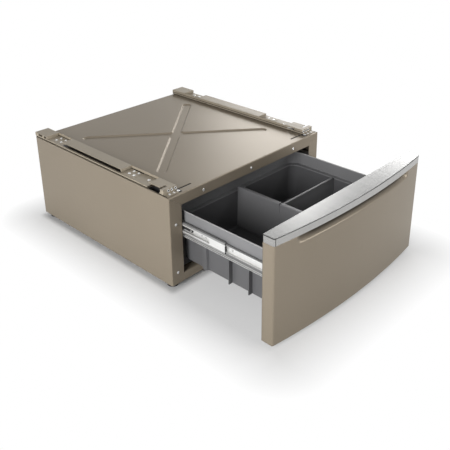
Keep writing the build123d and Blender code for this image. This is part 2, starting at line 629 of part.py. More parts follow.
def cap_fascia():
    """Front and floor of the cap, bowed like the drawer front."""
    top = CAP_TOP - CAP_WALL - SEAM
    outer = along_z(bow_face(0, FRONT_BACK_Y - CAP_WALL - 0.2, 2), CAP_BOTTOM, top)
    inner = along_z(bow_face(CAP_WALL, FRONT_BACK_Y + 1, 1), CAP_BOTTOM + CAP_WALL, top + 1)
    span = block(-HALF + CAP_END, HALF - CAP_END, -FRONT_REACH - 1, FRONT_BACK_Y, CAP_BOTTOM, top)
    return (outer - inner) & span


def cap_end():
    """Right-hand end of the cap."""
    top = CAP_TOP - CAP_WALL - SEAM
    whole = along_z(bow_face(0, FRONT_BACK_Y - CAP_WALL - 0.2, FRONT_CORNER), CAP_BOTTOM, top)
    return whole & block(HALF - CAP_END + SEAM, HALF, -FRONT_REACH, FRONT_BACK_Y, CAP_BOTTOM, top)


def cap_top():
    """Top plate of the cap, with a skirt down its straight back edge."""
    plate = along_z(bow_face(0, FRONT_BACK_Y, FRONT_CORNER), CAP_TOP - CAP_WALL, CAP_TOP)
    plate = chamfer(plate.faces().sort_by(Axis.Z)[-1].edges(), CAP_WALL / 3)
    skirt = block(-HALF + CAP_WALL, HALF - CAP_WALL, FRONT_BACK_Y - CAP_WALL, FRONT_BACK_Y,
                  CAP_BOTTOM + 0.2, CAP_TOP - CAP_WALL)
    return plate + skirt


def drawer_bracket():
    """Right-hand folded bracket: carries the tub's ledge, the drawer member and the drawer front."""
    inner = TUB_HALF - TUB_STEP + 1
    foot = TUB_LEDGE_Z - BRACKET_DROP
    section = strip([(inner, TUB_LEDGE_Z), (SLIDE_IN, TUB_LEDGE_Z), (SLIDE_IN, foot),
                     (SLIDE_IN + 6, foot)], BRACKET_GAUGE, BRACKET_BEND, Side.RIGHT)
    bracket = along_y(section, FRONT_BACK_Y, TUB_REAR - TUB_REAR_R)
    return bracket + block(SLIDE_IN - BRACKET_GAUGE, SLIDE_IN + BRACKET_TAB, FRONT_BACK_Y,
                           FRONT_BACK_Y + BRACKET_GAUGE, foot, TUB_LEDGE_Z - 2)


# ---------------------------------------------------------------- feet
def foot(x, y):
    """Levelling foot: a round pad with a hexagon collar for a spanner."""
    collar = extrude(RegularPolygon(FOOT_COLLAR_R, 6), amount=FOOT_STUD_Z - FOOT_PAD_Z)
    return rod((x, y, 0), (0, 0, 1), FOOT_PAD_R, FOOT_PAD_Z) + Pos(x, y, FOOT_PAD_Z) * collar


def foot_stud(x, y):
    """Steel stud of a levelling foot, which stands on the collar."""
    return rod((x, y, FOOT_STUD_Z), (0, 0, 1), FOOT_STUD_R, FOOT_STUD_TOP - FOOT_STUD_Z)


# ---------------------------------------------------------------- assembly
def build():
    """Draw every node, the right-hand ones with their left-hand twins."""
    keep_pair("side_panel", side_panel())
    keep("top_panel", top_panel())
    keep("rear_panel", rear_panel())
    keep("header_rail", header_rail())
    keep("sill_rail", sill_rail())
    keep_pair("base_rail", base_rail())
    keep_pair("mounting_rail", mounting_rail())
    keep_pair("slide_carrier", slide_carrier())
    keep_pair("slide_cabinet_member", cabinet_member())
    keep_pair("slide_middle_member", middle_member())
    keep_pair("slide_drawer_member", drawer_member())
    keep_pair("slide_outer_cage", cage(OUTER_BALL_Z, OUTER_CAGE_WEB, SLIDE_FRONT + 6))
    keep_pair("slide_inner_cage", cage(INNER_BALL_Z, INNER_CAGE_WEB, MIDDLE_START + 6))
    keep_pair("release_lever", release_lever())
    keep_pair("drawer_bracket", drawer_bracket())
    keep("drawer_tub", tub())
    keep("divider_long", divider_long())
    keep("divider_cross", divider_cross())
    keep("drawer_front_panel", front_panel())
    keep("drawer_front_liner", front_liner())
    keep("cap_fascia", cap_fascia())
    keep_pair("cap_end", cap_end())
    keep("cap_top", cap_top())
    for x, y in foot_places():
        name = "foot_" + ("front" if y < DEPTH / 2 else "rear") + ("_left" if x < 0 else "_right")
        keep(name, foot(x, y))
        keep(name + "_stud", foot_stud(x, y))


def write():
    """Write each node as a STEP file, moved so that the origin lies under the middle."""
    os.makedirs("parts", exist_ok=True)
    for name, shape in PARTS.items():
        export_step(Pos(0, -MIDDLE_Y, 0) * shape, f"parts/{name}.step")


build()
write()
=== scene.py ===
"""Laundry pedestal with its drawer open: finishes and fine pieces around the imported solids.

Metres, +Z up, drawer towards -Y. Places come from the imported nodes.
"""
import json
import math

import bmesh
import bpy
from mathutils import Matrix, Vector


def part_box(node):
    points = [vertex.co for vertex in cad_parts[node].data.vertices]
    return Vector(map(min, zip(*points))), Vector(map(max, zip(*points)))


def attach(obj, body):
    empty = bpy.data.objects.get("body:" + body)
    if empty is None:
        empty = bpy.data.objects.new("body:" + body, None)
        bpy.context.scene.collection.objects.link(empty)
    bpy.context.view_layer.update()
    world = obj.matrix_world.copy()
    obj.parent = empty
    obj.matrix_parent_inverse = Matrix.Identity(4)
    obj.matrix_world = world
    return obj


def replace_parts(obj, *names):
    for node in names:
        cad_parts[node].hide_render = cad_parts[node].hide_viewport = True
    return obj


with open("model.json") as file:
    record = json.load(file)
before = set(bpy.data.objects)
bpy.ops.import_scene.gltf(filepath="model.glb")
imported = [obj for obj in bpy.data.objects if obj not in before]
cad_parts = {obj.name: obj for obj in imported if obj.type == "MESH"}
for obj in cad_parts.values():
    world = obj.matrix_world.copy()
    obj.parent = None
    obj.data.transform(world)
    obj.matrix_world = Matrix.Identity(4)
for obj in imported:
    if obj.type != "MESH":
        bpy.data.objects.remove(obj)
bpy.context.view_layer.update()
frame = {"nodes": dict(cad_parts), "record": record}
nodes = frame["nodes"]

SIDES = (("left", -1), ("right", 1))

FRONT_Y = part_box("sill_rail")[0].y
BACK_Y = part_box("side_panel_right")[1].y
TOP_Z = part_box("top_panel")[1].z
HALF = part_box("top_panel")[1].x
SLIDE_Z = sum(corner.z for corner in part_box("slide_drawer_member_right")) / 2


# ---------------------------------------------------------------- bands of the finishes
# Each band is its middle, its half width and, where it isn't a sharp gap, how far it fades.
GAP_FADE = 0.0003

# The rail bands mark painted shade: dark lines in the gaps at the rails' foot and lip, and black
# under the raised bar.
RAIL_FOOT_Z = (TOP_Z + 0.0008, 0.0012)
RAIL_FOOT_X = (HALF, 0.0045)
RAIL_BAR_X = (HALF - 0.0265, 0.0165)
RAIL_BAR_Y = (0.242, 0.155, 0.0005)
RAIL_BAR_Z = (TOP_Z + 0.0097, 0.0047)
RAIL_LIP_X = (HALF - 0.055, 0.0065)
RAIL_LIP_Z = (TOP_Z + 0.0072, 0.0009)
RAIL_LIP_FOOT_Z = (TOP_Z + 0.0008, 0.0010)
# The cap bands mark painted shade in the seams round the cap's plate; the top band keeps it off the
# plate's top.
CAP_PLATE_SEAM_Z = (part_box("cap_fascia")[1].z + 0.0002, 0.0010)
CAP_END_SEAM_X = (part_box("cap_end_right")[0].x - 0.0002, 0.0008)
CAP_TOP_Z = (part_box("cap_top")[1].z, 0.0015)
# The bracket's foot band carries a painted highlight.
BRACKET_FOOT_Z = (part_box("drawer_bracket_right")[0].z, 0.0018, 0.0008)
# Above and below the slides' web band, the races carry painted shade.
SLIDE_WEB_Z = (SLIDE_Z, 0.0105, 0.0025)

# Shade at the top of the finger scoop: where it starts, how fast it deepens, and its ends.
SCOOP_SHADE_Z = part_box("cap_fascia")[0].z - 0.030
SCOOP_SHADE_FADE = 0.017
SCOOP_SHADE_HALF = 0.262
SCOOP_SHADE_ENDS = 0.07
SCOOP_SHADE = 0.85

# Level above which the tub is pale, and the height over which it turns.
TUB_LEDGE_Z = SLIDE_Z + 0.0045
TUB_LEDGE_FADE = 1 / 1500


# ---------------------------------------------------------------- shader maths
class Value:
    """A shader socket; arithmetic on it adds Math nodes to its tree."""

    def __init__(self, nodes_of, socket):
        self.nodes_of = nodes_of
        self.socket = socket

    def math(self, operation, *numbers):
        """Add a Math node over numbers and values."""
        return self.nodes_of.node("ShaderNodeMath", {"operation": operation},
                                  dict(enumerate(numbers)))

    def __add__(self, other):
        return self.math("ADD", self, other)

    __radd__ = __add__

    def __sub__(self, other):
        return self.math("SUBTRACT", self, other)

    def __rsub__(self, other):
        return self.math("SUBTRACT", other, self)

    def __mul__(self, other):
        return self.math("MULTIPLY", self, other)

    def __truediv__(self, other):
        return self.math("DIVIDE", self, other)

    def __abs__(self):
        return self.math("ABSOLUTE", self)

    def clipped(self):
        """The value, kept between nought and one."""
        return self.math("MAXIMUM", self.math("MINIMUM", self, 1), 0)

    def band(self, middle, half, fade=GAP_FADE):
        """One within half of the middle, falling to nought over the fade outside it."""
        return (1 + (half - abs(self - middle)) / fade).clipped()


class Nodes:
    """A node tree, filled by one method."""

    def __init__(self, tree):
        self.tree = tree

    def node(self, kind, settings, inputs, output=0):
        """Add a node: its settings first, then the values or links of its sockets."""
        made = self.tree.nodes.new(kind)
        for key, setting in settings.items():
            setattr(made, key, setting)
        for key, given in inputs.items():
            self.feed(made.inputs[key], given)
        return Value(self, made.outputs[output])

    def feed(self, socket, given):
        """Link a value to a socket, or set the socket's own number or colour."""
        if isinstance(given, Value):
            self.tree.links.new(given.socket, socket)
        elif socket.type == "RGBA":
            socket.default_value = (*given, 1.0)
        else:
            socket.default_value = given


class Finish(Nodes):
    """One material: a Principled shader and the nodes that feed it."""

    def __init__(self, name):
        self.material = bpy.data.materials.new(name)
        self.material.use_nodes = True
        super().__init__(self.material.node_tree)
        self.shader = self.tree.nodes["Principled BSDF"]
        self.place = self.node("ShaderNodeTexCoord", {}, {}, "Object")

    def axis(self, name):
        """One coordinate of the place, in metres."""
        return self.node("ShaderNodeSeparateXYZ", {}, {"Vector": self.place}, name)

    def shade(self, **inputs):
        """Set the shader's sockets; an underscore in a name stands for a space."""
        for key, given in inputs.items():
            self.feed(self.shader.inputs[key.replace("_", " ")], given)
        return self.material

    def noise(self, scale, detail, stretch=(1, 1, 1)):
        """Noise over the object, stretched along its axes."""
        place = self.node("ShaderNodeMapping", {}, {"Vector": self.place, "Scale": stretch})
        return self.node("ShaderNodeTexNoise", {},
                         {"Vector": place, "Scale": scale, "Detail": detail})

    def mixed(self, share, low, high):
        """Colour between two colours."""
        return self.node("ShaderNodeMix", {"data_type": "RGBA"}, {0: share, 6: low, 7: high}, 2)

    def bump(self, height, distance, strength, edge=0):
        """Bumped normal, over edges rounded by the edge radius."""
        inputs = {"Height": height, "Distance": distance, "Strength": strength}
        if edge:
            inputs["Normal"] = self.node("ShaderNodeBevel", {"samples": 6}, {"Radius": edge})
        return self.node("ShaderNodeBump", {}, inputs)


# ---------------------------------------------------------------- finishes
def painted_steel(name, shade_of=None):
    """Taupe metallic paint with fine flake and a thin clear coat, darkened where it is shaded."""
    finish = Finish(name)
    flake = finish.noise(2600, 1)
    cloud = finish.noise(2.2, 3)
    share = (flake * 0.5 + cloud * 0.5).clipped()
    colour = finish.mixed(share, (0.215, 0.180, 0.134), (0.300, 0.257, 0.200))
    if shade_of:
        colour = finish.mixed(shade_of(finish), colour, (0.040, 0.033, 0.025))
    peel = finish.noise(420, 2)
    return finish.shade(Base_Color=colour, Metallic=0.30, Roughness=0.29 + flake * 0.1,
                        Specular_IOR_Level=0.12, Coat_Weight=0.02, Coat_Roughness=0.2,
                        Normal=finish.bump(peel, distance=0.00004, strength=0.6, edge=0.0021))


def scoop_shade(finish):
    """Share of shade in the finger scoop, deepest under the cap."""
    depth = ((finish.axis("Z") - SCOOP_SHADE_Z) / SCOOP_SHADE_FADE).clipped()
    inside = ((SCOOP_SHADE_HALF - abs(finish.axis("X"))) / SCOOP_SHADE_ENDS).clipped()
    return depth * depth * inside * SCOOP_SHADE


def rail_paint():
    """The same taupe on the folded rails: thin, matt and paler, with painted shade in the folds'
    gaps and under the raised bar.
    """
    finish = Finish("rail_taupe_paint")
    grain = finish.noise(900, 3)
    cloud = finish.noise(14, 3)
    rub = finish.noise(60, 4, (1, 0.15, 1))
    share = (cloud * 0.6 + grain * 0.4).clipped()
    paint = finish.mixed(share, (0.295, 0.254, 0.193), (0.395, 0.345, 0.270))
    out, along, up = abs(finish.axis("X")), finish.axis("Y"), finish.axis("Z")
    # Painted shade: dark lines in the gaps at the foot and lip, and black on the step under the
    # raised bar.
    foot_gap_shade = up.band(*RAIL_FOOT_Z) * out.band(*RAIL_FOOT_X)
    bar_shade = up.band(*RAIL_BAR_Z) * out.band(*RAIL_BAR_X) * along.band(*RAIL_BAR_Y)
    lip_gap_shade = (up.band(*RAIL_LIP_Z) + up.band(*RAIL_LIP_FOOT_Z)) * out.band(*RAIL_LIP_X)
    gap_shade = (foot_gap_shade + bar_shade + lip_gap_shade).clipped()
    return finish.shade(Base_Color=finish.mixed(gap_shade, paint, (0.018, 0.015, 0.012)),
                        Metallic=0.12, Roughness=0.42 + rub * 0.16, Specular_IOR_Level=0.35,
                        Coat_Weight=0.08, Coat_Roughness=0.25,
                        Normal=finish.bump(grain, distance=0.00003, strength=0.3, edge=0.0014))


def galvanised_steel():
    """Zinc-coated sheet with pale and dark spangles."""
    finish = Finish("galvanised_sheet")
    spangle = finish.node("ShaderNodeTexVoronoi", {"feature": "F1"},
                          {"Vector": finish.place, "Scale": 210}, "Color")
    tone = finish.node("ShaderNodeSeparateColor", {}, {"Color": spangle})
    cloud = finish.noise(6, 3)
    share = (tone * 0.6 + cloud * 0.4).clipped()
    colour = finish.mixed(share, (0.33, 0.33, 0.325), (0.49, 0.49, 0.48))
    return finish.shade(Base_Color=colour, Metallic=0.7, Roughness=0.36 + tone * 0.12,
                        Normal=finish.bump(tone, distance=0.00002, strength=0.5))


def bracket_zinc():
    """Zinc of the folded drawer brackets: dull on the web, with a painted highlight in a bright
    band along the foot.
    """
    finish = Finish("bracket_zinc_with_painted_highlight")
    drawn = finish.noise(700, 3, (1, 0.04, 1))
    # Painted highlight: the band along the foot is much brighter than the web.
    foot = finish.axis("Z").band(*BRACKET_FOOT_Z)
    dull = finish.mixed(drawn, (0.150, 0.150, 0.150), (0.230, 0.230, 0.228))
    bright = finish.mixed(drawn, (0.62, 0.62, 0.61), (0.78, 0.78, 0.765))
    return finish.shade(Base_Color=finish.mixed(foot, dull, bright), Metallic=0.45,
                        Roughness=0.3 + drawn * 0.16,
                        Normal=finish.bump(drawn, distance=0.00003, strength=0.5, edge=0.0008))


def slide_zinc():
    """Bright slide steel, drawn lengthwise, with painted shade darkening the ball races beside the
    flat web.
    """
    finish = Finish("plated_slide_steel")
    drawn = finish.noise(900, 2, (1, 0.02, 1))
    # Painted shade: the races above and below the flat web are darker.
    race_shade = 1 - finish.axis("Z").band(*SLIDE_WEB_Z)
    bright = finish.mixed(drawn, (0.66, 0.66, 0.65), (0.82, 0.82, 0.805))
    dull = finish.mixed(drawn, (0.24, 0.24, 0.24), (0.36, 0.36, 0.355))
    return finish.shade(Base_Color=finish.mixed(race_shade, bright, dull), Metallic=0.45,
                        Roughness=0.26 + drawn * 0.16,
                        Normal=finish.bump(drawn, distance=0.00003, strength=0.5, edge=0.0008))


def bright_zinc():
    """Plating of the screws, balls, eyelets and studs."""
    finish = Finish("plated_screw")
    grain = finish.noise(1500, 2)
    return finish.shade(Base_Color=finish.mixed(grain, (0.70, 0.70, 0.69), (0.86, 0.86, 0.85)),
                        Metallic=0.8, Roughness=0.2 + grain * 0.14)


def black_moulding():
    """Black moulded plastic of the levers, feet and stops, and of the black trays and discs that
    stand for shade.
    """
    finish = Finish("black_moulded_plastic")
    grain = finish.noise(1800, 2)
    return finish.shade(Base_Color=finish.mixed(grain, (0.012, 0.012, 0.013), (0.028, 0.028, 0.03)),
                        Roughness=0.42 + grain * 0.15,
                        Normal=finish.bump(grain, distance=0.00004, strength=0.5, edge=0.0006))


def grey_moulding(name, greys, greys_above=None):
    """Moulded plastic with a fine grain and faint clouds, and other greys above the tub's ledge."""
    finish = Finish(name)
    grain = finish.noise(1400, 3)
    cloud = finish.noise(9, 3)
    colour = finish.mixed(cloud, *greys)
    if greys_above:
        above = ((finish.axis("Z") - TUB_LEDGE_Z) / TUB_LEDGE_FADE).clipped()
        colour = finish.mixed(above, colour, finish.mixed(cloud, *greys_above))
    return finish.shade(Base_Color=colour, Roughness=0.34 + grain * 0.16,
                        Normal=finish.bump(grain, distance=0.00005, strength=0.5, edge=0.0012))


def brushed_cap(name, low, high):
    """Silver of the cap, brushed from front to back, with painted shade in the seams round its
    plate.
    """
    finish = Finish(name)
    brushed = finish.noise(1100, 3, (1, 0.012, 0.35))
    broad = finish.noise(55, 2, (1, 0.03, 0.1))
    share = (brushed * 0.6 + broad * 0.4).clipped()
    silver = finish.mixed(share, low, high)
    up = finish.axis("Z")
    # Painted shade: dark lines in the seams round the plate and down the end caps, not on the
    # plate's top.
    plate_seam_shade = up.band(*CAP_PLATE_SEAM_Z)
    end_seam_shade = abs(finish.axis("X")).band(*CAP_END_SEAM_X)
    below = 1 - up.band(*CAP_TOP_Z)
    seam_shade = (plate_seam_shade + end_seam_shade * below).clipped()
    return finish.shade(Base_Color=finish.mixed(seam_shade, silver, (0.008, 0.008, 0.008)),
                        Metallic=0.85, Roughness=0.17 + brushed * 0.1,
                        Normal=finish.bump(brushed, distance=0.00002, strength=0.4, edge=0.0015))


FINISHES = {
    "taupe_paint": painted_steel("taupe_metallic_paint"),
    "zinc_steel": galvanised_steel(),
    "slide_steel": slide_zinc(),
    "bright_steel": bright_zinc(),
    "black_plastic": black_moulding(),
    "grey_plastic": grey_moulding("grey_moulded_plastic",
                                  ((0.150, 0.150, 0.154), (0.198, 0.198, 0.203))),
    "silver_cap": brushed_cap("brushed_silver_plate", (0.15, 0.15, 0.147), (0.29, 0.288, 0.282)),
}
FASCIA_FINISH = brushed_cap("satin_silver_fascia", (0.34, 0.338, 0.33), (0.48, 0.475, 0.462))
OWN_FINISHES = {
    "mounting_rail": rail_paint(),
    "drawer_bracket": bracket_zinc(),
    "drawer_tub": grey_moulding("tub_grey_plastic",
                                ((0.084, 0.084, 0.087), (0.112, 0.112, 0.116)),
                                ((0.170, 0.170, 0.174), (0.215, 0.215, 0.220))),
    "cap_fascia": FASCIA_FINISH,
    "cap_end": FASCIA_FINISH,
}
SHELL_FINISH = painted_steel("taupe_metallic_paint_on_front", scoop_shade)
# The rim's paler grey is a painted highlight along the tub's top edge.
RIM_HIGHLIGHT_FINISH = grey_moulding("pale_rim_plastic_painted_highlight", ((0.34, 0.34, 0.335), (0.46, 0.46, 0.455)))


def dress_nodes():
    """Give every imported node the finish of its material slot, or its own kind of it."""
    for part in frame["record"]["subparts"]:
        mesh = nodes[part["node"]].data
        mesh.materials.clear()
        own = [finish for name, finish in OWN_FINISHES.items() if part["node"].startswith(name)]
        mesh.materials.append(own[0] if own else FINISHES[part["material_slot"]])


# ---------------------------------------------------------------- piece helpers
SHARP_ANGLE = math.radians(38)


def mesh_of(name, bm):
    """Empty a bmesh into a new mesh."""
    mesh = bpy.data.meshes.new(name)
    bm.to_mesh(mesh)
    bm.free()
    return mesh


def placed(name, data):
    """New object in the scene."""
    made = bpy.data.objects.new(name, data)
    bpy.context.scene.collection.objects.link(made)
    return made


def piece(name, bm, body, slot, finish=None):
    """Turn a bmesh into a piece that rides on a body, in a slot's finish or its own kind of it."""
    bmesh.ops.recalc_face_normals(bm, faces=bm.faces)
    mesh = mesh_of(name, bm)
    mesh.materials.append(finish or FINISHES[slot])
    mesh.shade_smooth()
    mesh.set_sharp_from_angle(angle=SHARP_ANGLE)
    made = placed(name, mesh)
    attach(made, body)
    return made


def thicken(made, thickness):
    """Give a piece's sheet its thickness, inwards."""
    solid = made.modifiers.new("thickness", "SOLIDIFY")
    solid.thickness = thickness
    solid.offset = -1


def rounded(bm, geom, radius, segments=3, affect="EDGES"):
    """Round edges or corners."""
    bmesh.ops.bevel(bm, geom=geom, offset=radius, segments=segments, affect=affect, profile=0.5,
                    material=-1)


def raised(bm, faces, height):
    """Raise faces on walls of their own; gives the edges of the raised faces."""
    geom = bmesh.ops.extrude_face_region(bm, geom=faces)["geom"]
    bmesh.ops.translate(bm, verts=[g for g in geom if isinstance(g, bmesh.types.BMVert)],
                        vec=(0, 0, height))
    return [g for g in geom if isinstance(g, bmesh.types.BMEdge)]


def top_face(bm):
    """Highest face."""
    return max(bm.faces, key=lambda face: face.calc_center_median().z)


def block(middle, size):
    """Box about a point."""
    bm = bmesh.new()
    bmesh.ops.create_cube(bm, size=1,
                          matrix=Matrix.Translation(middle) @ Matrix.Diagonal((*size, 1)))
    return bm


def hexagon(bm, radius, low, high, edge, segments):
    """Add a hexagon between two heights, with its upper edges rounded."""
    base = bmesh.ops.create_circle(bm, cap_ends=True, segments=6, radius=radius,
                                   matrix=Matrix.Translation((0, 0, low)))["verts"]
    rounded(bm, raised(bm, list(base[0].link_faces), high - low), edge, segments)


def turned(profile, steps):
    """Solid of revolution about Z from (radius, height) points that start and end on the axis."""
    bm = bmesh.new()
    verts = [bm.verts.new((radius, 0, height)) for radius, height in profile]
    edges = [bm.edges.new(pair) for pair in zip(verts, verts[1:])]
    bmesh.ops.spin(bm, geom=verts + edges, axis=(0, 0, 1), angle=math.tau, steps=steps,
                   use_merge=True, use_duplicate=False)
    bmesh.ops.remove_doubles(bm, verts=bm.verts, dist=1e-6)
    return bm


def toward(place, direction):
    """Matrix that puts a piece's z = 0 at a place, with its +Z along the direction."""
    turn = Vector((0, 0, 1)).rotation_difference(Vector(direction)).to_matrix().to_4x4()
    return Matrix.Translation(place) @ turn


def repeated(master, places, direction=(0, 0, 1)):
    """One bmesh that holds a copy of a master mesh at each place, its +Z along the direction."""
    bm = bmesh.new()
    for place in places:
        before = len(bm.verts)
        bm.from_mesh(master)
        bm.verts.ensure_lookup_table()
        bmesh.ops.transform(bm, matrix=toward(place, direction), verts=bm.verts[before:])
    return bm


def face_x(low, high, side):
    """X of a box's face on a side."""
    return high.x if side > 0 else low.x


# ---------------------------------------------------------------- screws and balls
# Frame: across and below the top in its header, in from the sides and up its stiles.
HEADER_SCREWS_X = (-0.208, 0, 0.208)
HEADER_SCREWS_DOWN = 0.020
STILE_SCREWS_IN = 0.023
STILE_SCREWS_Z = (0.054, 0.214)
REAR_SCREWS_IN = 0.011
REAR_SCREWS_Z = (0.050, 0.160, 0.270)

RAIL_EDGE_X = HALF - 0.054
RAIL_TREAD_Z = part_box("mounting_rail_right")[1].z - 0.0105

# Drawer: behind the members' front ends, and in from the brackets' flanges and up them.
MEMBER_SCREWS_BEHIND = (0.031, 0.151, 0.255)
BRACKET_SCREWS_IN = 0.007
BRACKET_SCREWS_UP = (0.0095, 0.0255)
ZINC_SHEET = 0.0012

# A ball sits in from its cage's outer face, and a little into the cage's edges.
BALL_R = 0.0016
BALL_PITCH = 0.072
BALL_IN = 0.0036
BALL_OVERLAP = 0.0003


def hex_screw():
    """Washer-head screw, its seat at z = 0: a flange and a chamfered hexagon with a dished top."""
    bm = turned([(0, 0.0008), (0.0040, 0.0009), (0.0046, 0.0006), (0.0047, 0.0002), (0.0045, 0),
                 (0, 0)], steps=24)
    hexagon(bm, radius=0.0033, low=0.0007, high=0.0021, edge=0.0003, segments=2)
    bmesh.ops.inset_individual(bm, faces=[top_face(bm)], thickness=0.0006, depth=-0.0003)
    return mesh_of("hex_screw_master", bm)


def rail_screw_places():
    """Places on both mounting rails: on the tread two fours and a single, and three in front."""
    spots = [(0.012 + 0.019 * i, 0.180 + 0.022 * j, RAIL_TREAD_Z + 0.001)
             for i in range(2) for j in range(2)]
    spots += [(0.012 + 0.019 * i, 0.566 + 0.028 * j, RAIL_TREAD_Z)
              for i in range(2) for j in range(2)]
    spots += [(0.020, 0.124, RAIL_TREAD_Z)]
    spots += [(0.002 + 0.016 * i, 0.0175, TOP_Z + 0.0015) for i in range(3)]
    return [(side * (RAIL_EDGE_X + out), FRONT_Y + behind, z)
            for _, side in SIDES for out, behind, z in spots]


def all_screws():
    """Screws of the frame, back, rails, slides and brackets."""
    master = hex_screw()
    front = [(x, FRONT_Y, TOP_Z - HEADER_SCREWS_DOWN) for x in HEADER_SCREWS_X]
    front += [(side * (HALF - STILE_SCREWS_IN), FRONT_Y, z)
              for _, side in SIDES for z in STILE_SCREWS_Z]
    rear = [(side * (HALF - REAR_SCREWS_IN), BACK_Y, z) for _, side in SIDES for z in REAR_SCREWS_Z]
    for name, places, direction in (("front", front, (0, -1, 0)), ("rear", rear, (0, 1, 0)),
                                    ("rail", rail_screw_places(), (0, 0, 1))):
        piece(name + "_screws", repeated(master, places, direction), "cabinet", "bright_steel")
    for name, side in SIDES:
        low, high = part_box("slide_drawer_member_" + name)
        x = face_x(low, high, -side) + side * ZINC_SHEET
        places = [(x, low.y + behind, (low.z + high.z) / 2) for behind in MEMBER_SCREWS_BEHIND]
        piece("member_screws_" + name, repeated(master, places, (side, 0, 0)), "drawer",
              "bright_steel")
        low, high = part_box("drawer_bracket_" + name)
        x = face_x(low, high, side) - side * BRACKET_SCREWS_IN
        places = [(x, low.y + ZINC_SHEET, low.z + up) for up in BRACKET_SCREWS_UP]
        piece("panel_screws_" + name, repeated(master, places, (0, 1, 0)), "drawer",
              "bright_steel")


def slide_balls():
    """Steel balls in the pockets of the four cages."""
    bm = bmesh.new()
    bmesh.ops.create_icosphere(bm, subdivisions=2, radius=BALL_R)
    master = mesh_of("ball_master", bm)
    for name, side in SIDES:
        for row in ("outer", "inner"):
            low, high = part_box(f"slide_{row}_cage_{name}")
            x = face_x(low, high, side) - side * BALL_IN
            middle = (low.y + high.y) / 2
            places = [(x, middle + BALL_PITCH * i, z) for i in (-1, 0, 1)
                      for z in (low.z + BALL_OVERLAP, high.z - BALL_OVERLAP)]
            piece(f"{row}_balls_{name}", repeated(master, places), f"{row}_cage_{name}",
                  "bright_steel")


# ---------------------------------------------------------------- drawer front
BOW = 0.024
BOW_R = (HALF ** 2 + BOW ** 2) / (2 * BOW)
SHELL_LOW, SHELL_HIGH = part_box("drawer_front_panel")
SHELL_CORNER = 0.006
SHELL_CORNER_MIN = 0.0003
SHELL_ROLL = 0.0025
SHELL_TOP_ROLL = 0.0006
SHELL_LIP = 0.010
SHELL_SKIN = 0.0012

# Shares of the plan's half where the bow ends and where the corner ends.
BOW_SHARE = 0.86
CORNER_SHARE = 0.93

# Columns across; wide rows over all but a height at the top, then fine rows through the scoop.
SHELL_COLUMNS = 264
WIDE_ROWS = 24
WIDE_ROWS_SHORT = 0.034
FINE_ROWS = 25
FINE_ROWS_DROP = 0.0305
FINE_ROW = 0.0012

SCOOP_HALF = 0.268
SCOOP_DROP = 0.025
SCOOP_DEPTH = 0.018
SCOOP_END = 0.030
SCOOP_BEND = 1.25


def shell_plan(share, inset):
    """Point of the front's plan, moved in by the inset: left back edge at -1, right at 1."""
    radius = max(SHELL_CORNER - inset, SHELL_CORNER_MIN)
    centre_x = HALF - inset - radius
    reach = BOW_R - inset - radius
    lean = math.asin(centre_x / reach)
    bow_centre = SHELL_LOW.y + BOW_R
    centre_y = bow_centre - reach * math.cos(lean)
    side = math.copysign(1, share)
    share = abs(share)
    if share < BOW_SHARE:
        angle = lean * share / BOW_SHARE
        return (side * (BOW_R - inset) * math.sin(angle),
                bow_centre - (BOW_R - inset) * math.cos(angle))
    if share < CORNER_SHARE:
        angle = lean + (math.pi / 2 - lean) * (share - BOW_SHARE) / (CORNER_SHARE - BOW_SHARE)
        return side * (centre_x + radius * math.sin(angle)), centre_y - radius * math.cos(angle)
    back = (share - CORNER_SHARE) / (1 - CORNER_SHARE)
    return side * (HALF - inset), centre_y + back * (SHELL_HIGH.y - centre_y)


def shell_rows():
    """Inset and height of each row of the shell, from its bottom lip up to its top lip."""
    low, high, roll, top_roll = SHELL_LOW.z, SHELL_HIGH.z, SHELL_ROLL, SHELL_TOP_ROLL
    turns = [math.radians(22.5 * i) for i in range(5)]
    rows = [(SHELL_LIP, low)]
    rows += [(roll - roll * math.sin(turn), low + roll - roll * math.cos(turn)) for turn in turns]
    rows += [(0, low + roll + (high - low - WIDE_ROWS_SHORT) * i / WIDE_ROWS)
             for i in range(1, WIDE_ROWS + 1)]
    rows += [(0, high - FINE_ROWS_DROP + FINE_ROW * i) for i in range(FINE_ROWS)]
    rows += [(top_roll * math.sin(turn), high - top_roll * math.cos(turn)) for turn in turns[1:]]
    return rows + [(SHELL_LIP, high)]


def eased(share):
    """Nought to one with a soft start and end."""
    share = min(max(share, 0), 1)
    return 0.5 - 0.5 * math.cos(math.pi * share)


def drawer_shell():
    """Bowed shell of the drawer front: rolled edges, and the finger scoop pressed under the cap."""
    rows = shell_rows()
    bm = bmesh.new()
    bmesh.ops.create_grid(bm, x_segments=SHELL_COLUMNS, y_segments=len(rows) - 1, size=1)
    for vert in bm.verts:
        inset, height = rows[round((vert.co.y + 1) / 2 * (len(rows) - 1))]
        x, y = shell_plan(vert.co.x, inset)
        drop = 1 - eased(((SHELL_HIGH.z - height) / SCOOP_DROP) ** SCOOP_BEND)
        ends = 1 - eased((abs(x) - SCOOP_HALF + SCOOP_END) / SCOOP_END)
        vert.co = (x, y + SCOOP_DEPTH * drop * ends, height)
    made = piece("drawer_front_shell", bm, "drawer", "taupe_paint", SHELL_FINISH)
    thicken(made, SHELL_SKIN)
    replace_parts(made, "drawer_front_panel")


# ---------------------------------------------------------------- tub
TUB_REAR_R = 0.040
TUB_FRONT_R = 0.010
RIM_WIDTH = 0.0034
RIM_HEIGHT = 0.0022
RIM_SUNK = 0.0006
RIM_R = 0.0009


